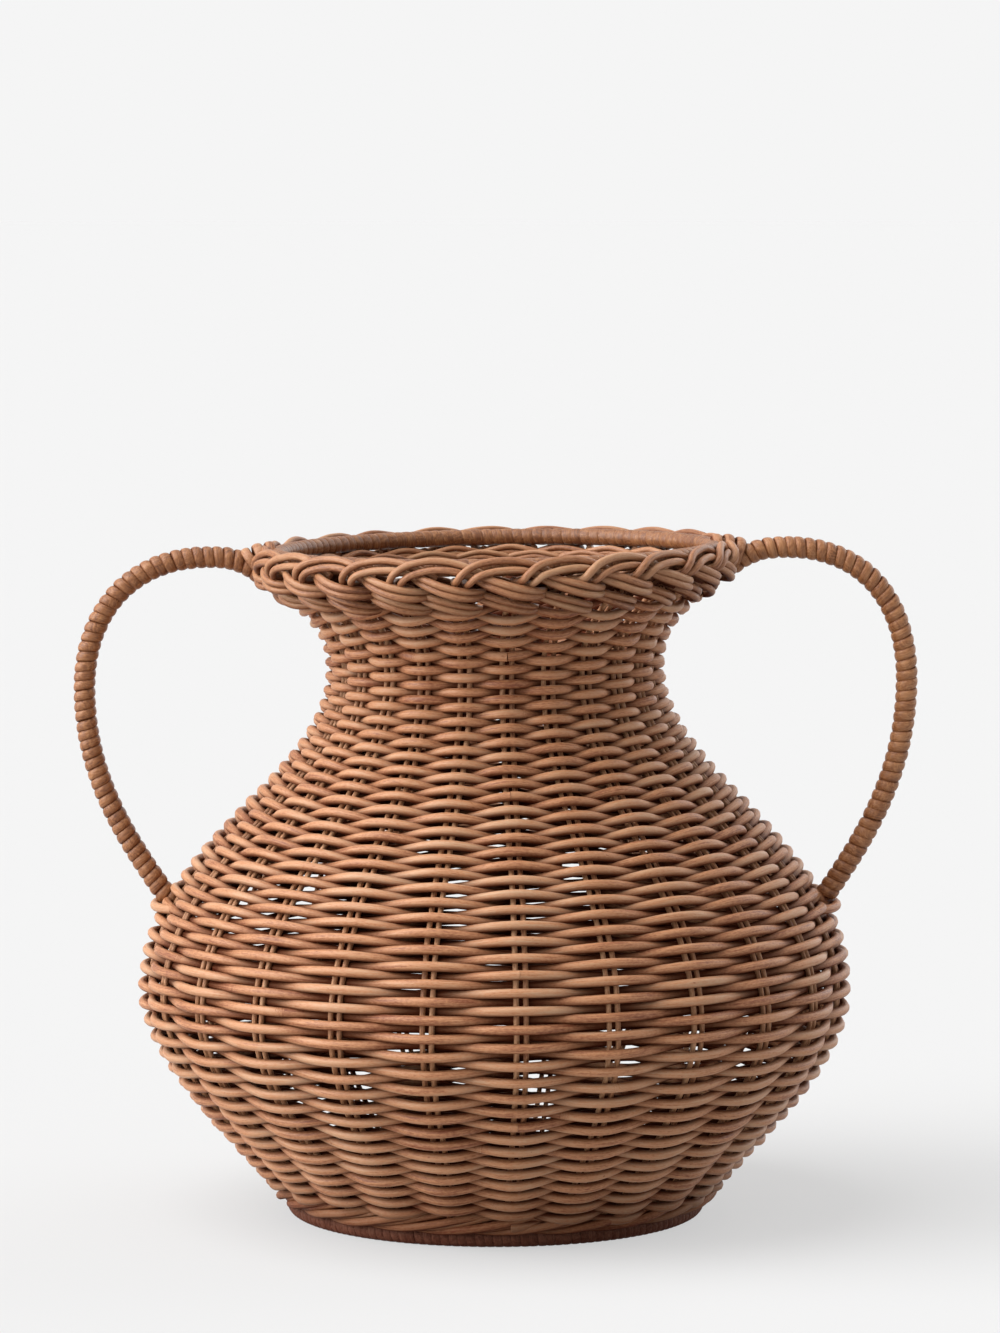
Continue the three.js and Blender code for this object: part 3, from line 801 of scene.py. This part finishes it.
def shade_group():
    """Stained cane, with painted shade: colour, roughness and surface height from the places stored on
    the canes.
    """
    group = bpy.data.node_groups.new("stained_and_shaded_cane", "ShaderNodeTree")
    shade = Nodes(group)
    for label in ("Light", "Middle", "Dark", "Stain_and_shade"):
        group.interface.new_socket(label, in_out="INPUT", socket_type="NodeSocketColor")
    group.interface.new_socket("Roughness", in_out="INPUT", socket_type="NodeSocketFloat")
    group.interface.new_socket("Color", in_out="OUTPUT", socket_type="NodeSocketColor")
    for label in ("Roughness", "Height", "Gloss"):
        group.interface.new_socket(label, in_out="OUTPUT", socket_type="NodeSocketFloat")
    given = group.nodes.new("NodeGroupInput")
    given = {s.name: Value(group, s) for s in given.outputs if s.name}

    cane = shade.node("ShaderNodeAttribute", out=1, attribute_name="cane")
    tint = shade.node("ShaderNodeAttribute", out=2, attribute_name="tint")
    proud = shade.node("ShaderNodeAttribute", out=2, attribute_name="proud")
    place = shade.node("ShaderNodeTexCoord", out=None)["Object"]
    apart = shade.vector(tint * 31.0, tint * 17.0, tint * 5.0)

    def streaks(across, along, detail):
        stretched = shade.vectors("MULTIPLY", cane, (across, across, along))
        return shade.noise(shade.vectors("ADD", stretched, apart), detail=detail)

    fibres = streaks(across=1600.0, along=75.0, detail=4.0)
    fine = streaks(across=1500.0, along=600.0, detail=3.0)
    mottle = streaks(across=260.0, along=38.0, detail=3.0)
    region = shade.noise(shade.scaled(place, 11.0), detail=2.0)
    specks = streaks(across=700.0, along=420.0, detail=1.0).rise(0.52, 0.62)

    tone = (tint - 0.5) * 0.38 + fibres * 0.55 + fine * 0.45 + mottle * 0.55 + region * 0.3 + 0.5
    pale = tone.rise(0.5, 1.0)
    deep = (tone * -1.0 + 1.0).rise(0.5, 1.0)
    # Painted shade towards the foot, where the floor and the belly keep light away, fading out over the
    # lowest few centimetres
    near_foot = (shade.parts(place)[2] * -1.0).rise(-FOOT_SHADE_HEIGHT, 0.0)
    # Stain and painted shade where the stored proud value is low, in the recesses and gaps; the painted
    # shade near the foot adds to it
    recess = ((proud * -1.0 + 1.0).rise(0.3, 1.2) + near_foot * 0.9).rise(0.0, 1.0)

    def mixed(share, first, second):
        inputs = {"Factor": share, "A": first, "B": second}
        return shade.node("ShaderNodeMix", inputs, data_type="RGBA")

    colour = mixed(pale, given["Middle"], given["Light"])
    colour = mixed(deep, colour, given["Dark"])
    colour = mixed(specks * 0.55, colour, given["Dark"])
    # Stain and painted shade over the cane's own colours
    colour = mixed(recess * 0.93, colour, given["Stain_and_shade"])
    roughness = given["Roughness"] + fibres * 0.07 + recess * 0.22 + specks * 0.1
    height = fibres * 0.6 + fine * 0.3 + mottle * 0.35 - specks * 0.5

    result = group.nodes.new("NodeGroupOutput")
    gloss = (recess * -0.9 + 1.0) * 0.4
    for slot, value in zip(result.inputs, (colour, roughness, height, gloss)):
        plug(group, slot, value)
    return group


def cane_material(name, light, middle, dark, roughness):
    material = bpy.data.materials.new(name)
    material.use_nodes = True
    tree = material.node_tree
    shader = tree.nodes["Principled BSDF"]
    group = tree.nodes.new("ShaderNodeGroup")
    group.node_tree = stained_and_shaded_cane
    for label, colour in zip(("Light", "Middle", "Dark", "Stain_and_shade"), (light, middle, dark, STAIN_AND_SHADE)):
        group.inputs[label].default_value = (*colour, 1)
    group.inputs["Roughness"].default_value = roughness
    bump = tree.nodes.new("ShaderNodeBump")
    bump.inputs["Strength"].default_value = 1.0
    bump.inputs["Distance"].default_value = GRAIN_RELIEF
    tree.links.new(group.outputs["Height"], bump.inputs["Height"])
    tree.links.new(bump.outputs["Normal"], shader.inputs["Normal"])
    tree.links.new(group.outputs["Color"], shader.inputs["Base Color"])
    tree.links.new(group.outputs["Roughness"], shader.inputs["Roughness"])
    tree.links.new(group.outputs["Gloss"], shader.inputs["Specular IOR Level"])
    return material


stained_and_shaded_cane = shade_group()
FINISHES = {name: cane_material(name, *colours) for name, colours in CANE_COLOURS.items()}


# Camera, floor and light
BACKDROP = 0.913
FLOOR_WIDTH = 80
FLOOR_ALBEDO = 0.235
FLOOR_BOUNCE = 0.44  # the floor's albedo for the light that it throws onto the vase
WORLD_STRENGTH = 0.40
LAMPS = [
    ("key", 3.7, Vector((-1.0, -0.28, 0.26)), math.radians(60)),
    ("top", 2.65, Vector((-0.5, -0.15, 0.84)), math.radians(60)),
    ("fill", 1.35, Vector((0.9, 0.7, 0.38)), math.radians(70)),
]


def set_camera():
    data = bpy.data.cameras.new("camera")
    data.sensor_fit = "HORIZONTAL"
    data.sensor_width = SENSOR_WIDTH
    data.lens = SENSOR_WIDTH * FOCAL_PIXELS / PICTURE_WIDTH
    camera = bpy.data.objects.new("camera", data)
    camera.location = CAMERA_PLACE
    camera.rotation_euler = (math.pi / 2 - CAMERA_PITCH, 0, 0)
    scene.collection.objects.link(camera)
    scene.camera = camera


def light_on_floor(strength, towards, spread):
    """What a wide lamp gives the open floor, summed over small patches that lie above the horizon."""
    height = towards.normalized().z
    level = math.sqrt(1 - height * height)
    steps = 48
    total = 0.0
    for i in range(steps):
        away = spread / 2 * (i + 0.5) / steps
        for j in range(steps):
            round_lamp = 2 * math.pi * (j + 0.5) / steps
            cosine = math.cos(away) * height + math.sin(away) * level * math.cos(round_lamp)
            total += max(cosine, 0.0) * math.sin(away)
    return strength * total * spread / (steps * math.sin(spread / 2)) ** 2


def floor_glow():
    """What the floor gives off by itself, so that far from the vase it is as bright as the backdrop."""
    light = math.pi * WORLD_STRENGTH
    for _, strength, towards, spread in LAMPS:
        light += light_on_floor(strength, towards, spread)
    return BACKDROP - FLOOR_ALBEDO * light / math.pi


def seen_directly(nodes):
    """1 for what the camera sees, also in a shine or through glass, and 0 for light on its way."""
    rays = nodes.node("ShaderNodeLightPath", out=None)
    seen = rays["Is Camera Ray"]
    for label in ("Is Glossy Ray", "Is Transmission Ray"):
        seen = seen.at_least(rays[label])
    return seen


def set_floor():
    half = FLOOR_WIDTH / 2
    corners = [(-half, -half, 0), (half, -half, 0), (half, half, 0), (-half, half, 0)]
    mesh = bpy.data.meshes.new("floor")
    mesh.from_pydata(corners, [], [(0, 1, 2, 3)])
    material = bpy.data.materials.new("floor")
    material.use_nodes = True
    shader = material.node_tree.nodes["Principled BSDF"]
    shader.inputs["Roughness"].default_value = 0.9
    shader.inputs["Specular IOR Level"].default_value = 0.0
    shader.inputs["Emission Color"].default_value = (1, 1, 1, 1)
    seen = seen_directly(Nodes(material.node_tree))
    albedo = seen * (FLOOR_ALBEDO - FLOOR_BOUNCE) + FLOOR_BOUNCE
    plug(material.node_tree, shader.inputs["Base Color"], albedo)
    plug(material.node_tree, shader.inputs["Emission Strength"], seen * floor_glow())
    mesh.materials.append(material)
    floor = bpy.data.objects.new("floor", mesh)
    scene.collection.objects.link(floor)


def set_light():
    world = bpy.data.worlds.new("studio")
    scene.world = world
    world.use_nodes = True
    seen = seen_directly(Nodes(world.node_tree))
    strength = seen * (BACKDROP - WORLD_STRENGTH) + WORLD_STRENGTH
    background = world.node_tree.nodes["Background"]
    background.inputs["Color"].default_value = (1, 1, 1, 1)
    plug(world.node_tree, background.inputs["Strength"], strength)
    for name, strength, towards, spread in LAMPS:
        sun = bpy.data.lights.new(name, "SUN")
        sun.energy = strength
        sun.angle = spread
        lamp = bpy.data.objects.new(name, sun)
        lamp.rotation_euler = towards.to_track_quat("Z", "Y").to_euler()
        scene.collection.objects.link(lamp)


set_camera()
set_floor()
set_light()
scene.view_settings.view_transform = "Standard"

weave_rows = rows_tree()
canes_round = ring_tree()
wound_cane = wound_tree()

# Wall: the bands of weaving, from the foot to the flare
wall_line = line_object("wall_line", [(1.0, WALL)], smooth=False)
distance = WEAVE_START
for number, (name, rows, first_pitch, last_pitch) in enumerate(BANDS):
    grow(
        "woven_" + name.split("_")[0],
        weave_rows,
        "weave",
        [name],
        Line=wall_line,
        Start=distance,
        Rows=rows,
        First_pitch=first_pitch,
        Last_pitch=last_pitch,
        Stakes=STAKE_PAIRS,
        First_stake=math.radians(FIRST_STAKE),
        Swing=WEAVE_SWING,
        Out=WEAVE_OUT,
        Radius=WEAVER_RADIUS,
        Unevenness=WEAVE_UNEVENNESS,
        Cane_length=WEAVER_LENGTH,
        Steps=10,
        Sides=10,
        Seed=number + 1,
    )
    distance += rows * (first_pitch + last_pitch) / 2

# Stakes: two rods side by side in each pair
rods = []
for side in (-1, 1):
    aside = side * ROD_SPACING / 2
    places = [round_axis(FIRST_STAKE, *on_wall(along * MM), aside) for along in ROD_PLACES]
    rods.append((ROD_RADIUS, places))
lay(
    "stake_rods",
    "stakes",
    [f"stake_pair_{i + 1:02d}" for i in range(STAKE_PAIRS)],
    line_object("rod_lines", rods),
    Copies=STAKE_PAIRS,
    Turn_jitter=math.radians(0.35),
    Unevenness=0.45 * MM,
    Thickness_jitter=0.06,
    Spacing=3 * MM,
    Facing=0.6,
    Sides=8,
    Seed=3,
)

# Foot: two sets of strands that start on the hoop and slant up past the next stakes
strands = []
for turn, in_by, up_by, radius in FOOT_STRAND_SETS:
    places = [
        round_axis(FIRST_STAKE + turn + degrees, (r - in_by) * MM, (z + up_by) * MM)
        for degrees, r, z, _ in FOOT_STRAND
    ]
    radii = [radius * MM * share for *_, share in FOOT_STRAND]
    strands.append((radii, places))
lay(
    "foot_strands",
    "weave",
    ["foot_wale"],
    line_object("strand_lines", strands),
    Copies=STAKE_PAIRS,
    Turn_jitter=math.radians(0.8),
    Unevenness=0.5 * MM,
    Thickness_jitter=0.06,
    Spacing=1.5 * MM,
    Facing=1.4,
    # Painted shade: the strands lie low in the shadow of the belly
    Paleness=-0.3,
    Sides=12,
    Seed=5,
)

# Hoops: each a rod, wrapped with a flat strip of cane
for name, hoop, rod, turns, seed in (
    ("foot", FOOT_HOOP, FOOT_HOOP_ROD, 150, 11),
    ("rim", RIM_HOOP, RIM_HOOP_ROD, 128, 12),
):
    pitch = 2 * math.pi * hoop.x / turns
    grow(
        name + "_winding",
        wound_cane,
        name + "_wrapping",
        [name + "_hoop_wrap"],
        Line=circle_line(name + "_hoop_line", hoop),
        Square_to_line=(0, 0, 1),
        Turns=turns,
        Steps=18,
        Rod=rod,
        Width=pitch * 1.1,
        Thickness=STRIP_THICKNESS,
        Tilt=0.0,
        Unevenness=0.25,
        End_shade=0.0,
        Groove=0.45,
        Paleness=0.0,
        Sides=12,
        Seed=seed,
    )
    places = [round_axis(angle, hoop.x, hoop.y) for angle in range(0, 360, 3)]
    lay(
        name + "_rod",
        "base",
        [name + "_hoop_core"],
        line_object(name + "_rod_line", [(rod, places)], closed=True),
        Spacing=4 * MM,
        Sides=10,
        Seed=seed,
    )

# Rim: arcs over the hoop, two rows of slanting canes under them, and the arcs inside
lay(
    "rim_arcs",
    "plait",
    ["rim_plait"],
    line_object("arc_lines", [rim_cane(1.72, UPPER_ARC), rim_cane(1.6, LOWER_ARC)]),
    Copies=STAKE_PAIRS,
    Turn_jitter=math.radians(1.2),
    Unevenness=0.8 * MM,
    Thickness_jitter=0.08,
    Spacing=1.2 * MM,
    Facing=0.9,
    Sides=14,
    Seed=21,
)
slants = [rim_cane(1.75, UPPER_SLANT, 0.2 * k, 1.6 * k, 0.75) for k in (-1, 1)]
slants += [rim_cane(1.65, LOWER_SLANT, 0.7 * k, 1.5 * k, 0.75) for k in (-1, 1)]
lay(
    "rim_slants",
    "plait",
    [],
    line_object("slant_lines", slants),
    Copies=STAKE_PAIRS,
    Turn_jitter=math.radians(0.9),
    Unevenness=0.7 * MM,
    Thickness_jitter=0.07,
    Spacing=1.2 * MM,
    Facing=1.0,
    Sides=12,
    Seed=22,
)
inner = [rim_cane(1.35, INNER_ARC, 0.4 * k, 2.3 * k) for k in (0, 1, 2)]
inner += [rim_cane(1.3, INNER_ARC, -2.2, -2.0 + 2.3 * k, turn=STAKE_STEP / 2) for k in (0, 1)]
lay(
    "rim_inner_arcs",
    "plait",
    [],
    line_object("inner_lines", inner),
    Copies=STAKE_PAIRS,
    Turn_jitter=math.radians(1.0),
    Unevenness=0.9 * MM,
    Thickness_jitter=0.07,
    Spacing=1.5 * MM,
    Facing=-1.0,
    Sides=10,
    Seed=23,
)

# Handles: close turns of cane on a rod, a cane of the wall under the foot, and a binding on the rim
for side, label in ((1, "right"), (-1, "left")):
    grow(
        "handle_winding_" + label,
        wound_cane,
        "handle_wrapping",
        ["handle_wrap_" + label],
        Line=handle_line("handle_line_" + label, side),
        Square_to_line=(0, 1, 0),
        Turns=HANDLE_TURNS,
        Steps=28,
        Rod=HANDLE_WINDING_INSIDE,
        Width=5.0 * MM,
        Thickness=2.8 * MM,
        Tilt=0.2 * side,
        Unevenness=0.22,
        End_shade=0.6,
        Groove=1.1,
        # Painted light on the right handle, and a little painted shade on the left
        Paleness=0.15 + 0.2 * side,
        Sides=16,
        Seed=31 + side,
    )
    lay(
        "handle_rod_" + label,
        "stakes",
        ["handle_core_" + label],
        handle_line("handle_rod_line_" + label, side, HANDLE_ROD),
        Spacing=3 * MM,
        Sides=10,
        Seed=35 + side,
    )
    places = [round_axis(90 * side + degrees, r * MM, z * MM) for degrees, r, z in HANDLE_FOOT_CANE]
    lay(
        "handle_foot_cane_" + label,
        "weave",
        [],
        line_object("handle_foot_line_" + label, [(HANDLE_FOOT_CANE_RADIUS, places)]),
        Unevenness=0.3 * MM,
        Spacing=1.5 * MM,
        Facing=0.8,
        Sides=12,
        Seed=45 + side,
    )
    places = [Vector((side * x * MM, 0, z * MM)) for x, z in RIM_BINDING]
    grow(
        "rim_binding_" + label,
        wound_cane,
        "plait",
        [],
        Line=line_object("binding_line_" + label, [(1.0, places)]),
        Square_to_line=(0, 1, 0),
        Turns=3,
        Steps=36,
        Rod=RIM_BINDING_INSIDE,
        Width=4.6 * MM,
        Thickness=2.4 * MM,
        Tilt=0.0,
        Unevenness=0.2,
        End_shade=0.1,
        Groove=1.2,
        Paleness=0.0,
        Sides=14,
        Seed=41 + side,
    )


# Base: crossed spokes and the rows woven round them
def spoke(across, aside):
    """A stick from edge to edge, turned by across degrees from front to back; aside is -1, 0 or 1."""
    rise = SPOKE_CROSSING if across else -SPOKE_CROSSING
    halves = []
    for end in (-1, 1):
        half = []
        for reach, spread in SPOKE_PLACES:
            angle = across + 90 + end * (90 + SPOKE_STEP * spread * aside)
            height = BASE_HEIGHT + rise * (1 - reach) ** 2
            half.append(round_axis(angle, SPOKE_REACH * reach, height))
        halves.append(half)
    return halves[0] + halves[1][::-1]


spokes = [(SPOKE_RADIUS, spoke(across, aside)) for across in (0, 90) for aside in (-1, 0, 1)]
lay(
    "base_spokes",
    "stakes",
    [f"base_stick_{way}_{i}" for way in ("along", "across") for i in (1, 2, 3)],
    line_object("spoke_lines", spokes),
    Unevenness=0.3 * MM,
    Thickness_jitter=0.05,
    Spacing=3 * MM,
    Sides=10,
    Seed=51,
)
base_line = [Vector((BASE_WEAVE_START, 0, BASE_HEIGHT)), Vector((BASE_WEAVE_END, 0, BASE_HEIGHT))]
base_pitch = (BASE_WEAVE_END - BASE_WEAVE_START) / BASE_ROWS
grow(
    "woven_base",
    weave_rows,
    "base",
    ["base_weave"],
    Line=line_object("base_line", [(1.0, base_line)], smooth=False),
    Start=base_pitch / 2,
    Rows=BASE_ROWS - 1,
    First_pitch=base_pitch,
    Last_pitch=base_pitch,
    Stakes=SPOKES,
    First_stake=0.0,
    Swing=2.1 * MM,
    Out=0.0,
    Radius=1.72 * MM,
    Unevenness=0.3 * MM,
    Cane_length=1.4,
    Steps=12,
    Sides=8,
    Seed=52,
)

for helper in helpers:
    bpy.data.objects.remove(helper)
